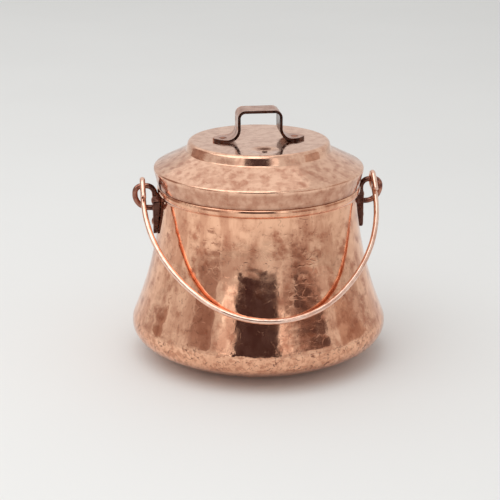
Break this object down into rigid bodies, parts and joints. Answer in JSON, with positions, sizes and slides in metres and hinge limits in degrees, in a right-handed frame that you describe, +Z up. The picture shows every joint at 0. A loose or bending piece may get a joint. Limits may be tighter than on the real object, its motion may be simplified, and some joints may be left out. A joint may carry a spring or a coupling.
{
  "type": "stew pot",
  "caption": "Hammered copper stew pot: wide rounded shoulder, beaded neck, loose stepped lid with a strap handle, and a bail linked to riveted ring ears.",
  "frame": {"origin": "on the pot's vertical axis, on the surface that the pot stands on", "axes": "+Z up, +X towards the right ear, -Y towards the front, where the bail leans on the flank at rest"},
  "size_m": [0.2216, 0.2216, 0.2162],
  "materials": {
    "body_copper": "hammered and polished copper, tinned inside",
    "lid_copper": "hammered and polished copper, tinned inside",
    "strap_copper": "forged copper, satin, darker with age",
    "ear_copper": "forged copper, satin, darker with age",
    "bail_copper": "bright polished copper rod",
    "rivet_copper": "hammered copper rivet heads"
  },
  "bodies": {
    "pot": {"pot_body": "body_copper", "left_ear": "ear_copper", "right_ear": "ear_copper", "left_ear_upper_rivet": "rivet_copper", "left_ear_lower_rivet": "rivet_copper", "right_ear_upper_rivet": "rivet_copper", "right_ear_lower_rivet": "rivet_copper", "lid": "lid_copper", "lid_handle": "strap_copper", "lid_handle_left_rivet": "rivet_copper", "lid_handle_right_rivet": "rivet_copper"},
    "bail": {"bail": "bail_copper"}
  },
  "joints": [
    {"name": "bail_swing", "type": "hinge", "parent": "pot", "child": "bail", "pos_m": [0, 0, 0.1516], "axis": [-1, 0, 0], "range_deg": [0, 262.24]}
  ]
}
